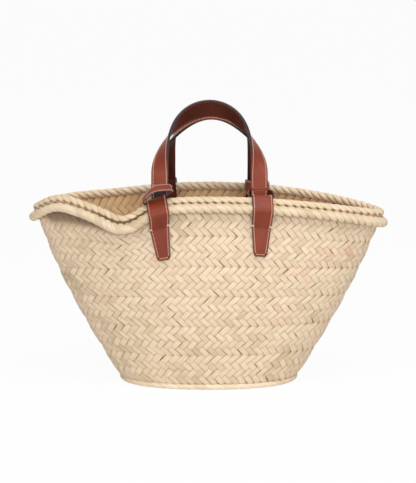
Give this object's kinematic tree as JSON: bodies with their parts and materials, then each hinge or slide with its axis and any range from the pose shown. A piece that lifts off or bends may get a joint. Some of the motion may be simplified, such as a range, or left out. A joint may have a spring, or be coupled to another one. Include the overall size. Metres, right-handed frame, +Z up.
{
  "type": "basket bag",
  "caption": "Boat-shaped plaited palm-leaf basket bag on an oval base, with a double rope rim, two short leather strap handles and leather tabs and keeper loops",
  "frame": {"origin": "centre of the bounding box, on the surface the bag stands on", "axes": "+X along the mouth to the right, -Y the side facing the camera, +Z up"},
  "size_m": [0.4082, 0.1516, 0.3218],
  "materials": {
    "palm_plait": "matte",
    "palm_rope": "matte",
    "tan_leather": "satin",
    "strap_lining": "matte"
  },
  "bodies": {
    "basket": {"base_mat": "palm_plait", "foot_rope": "palm_rope", "wall_course_1": "palm_plait", "wall_course_2": "palm_plait", "wall_course_3": "palm_plait", "wall_course_4": "palm_plait", "wall_course_5": "palm_plait", "wall_course_6": "palm_plait", "rim_top_bead": "palm_rope", "rim_outer_roll": "palm_rope", "tab_front_left": "tan_leather", "strap_foot_front_left": "tan_leather", "tab_front_right": "tan_leather", "strap_foot_front_right": "tan_leather", "tab_rear_left": "tan_leather", "strap_foot_rear_left": "tan_leather", "tab_rear_right": "tan_leather", "strap_foot_rear_right": "tan_leather"},
    "front_handle": {"front_handle_outer_ply": "tan_leather", "front_handle_lining": "strap_lining"},
    "rear_handle": {"rear_handle_outer_ply": "tan_leather", "rear_handle_lining": "strap_lining"},
    "loop_front_left": {"keeper_loop_front_left": "tan_leather"},
    "loop_front_right": {"keeper_loop_front_right": "tan_leather"},
    "loop_rear_left": {"keeper_loop_rear_left": "tan_leather"},
    "loop_rear_right": {"keeper_loop_rear_right": "tan_leather"}
  },
  "joints": [
    {"name": "front_handle_swing", "type": "hinge", "parent": "basket", "child": "front_handle", "pos_m": [0, -0.04464, 0.22431], "axis": [1, 0, 0], "range_deg": [0, 88]},
    {"name": "rear_handle_swing", "type": "hinge", "parent": "basket", "child": "rear_handle", "pos_m": [0, 0.038, 0.22486], "axis": [-1, 0, 0], "range_deg": [0, 88]},
    {"name": "loop_front_left_tilt", "type": "hinge", "parent": "basket", "child": "loop_front_left", "pos_m": [-0.05693, -0.05728, 0.20964], "axis": [0.9582, 0.0351, 0.2839], "range_deg": [0, 43]},
    {"name": "loop_front_right_tilt", "type": "hinge", "parent": "basket", "child": "loop_front_right", "pos_m": [0.05887, -0.05614, 0.21251], "axis": [-0.993, -0.0961, 0.0683], "range_deg": [0, 26]},
    {"name": "loop_rear_left_tilt", "type": "hinge", "parent": "basket", "child": "loop_rear_left", "pos_m": [-0.05013, 0.05006, 0.21306], "axis": [0.995, 0.0817, 0.058], "range_deg": [0, 26]},
    {"name": "loop_rear_right_tilt", "type": "hinge", "parent": "basket", "child": "loop_rear_right", "pos_m": [0.05667, 0.0495, 0.21266], "axis": [0.9935, -0.0924, -0.0658], "range_deg": [0, 26]}
  ],
  "couplings": [
    {"joint": "loop_front_left_tilt", "follows": "front_handle_swing", "ratio": 0.48}
  ]
}
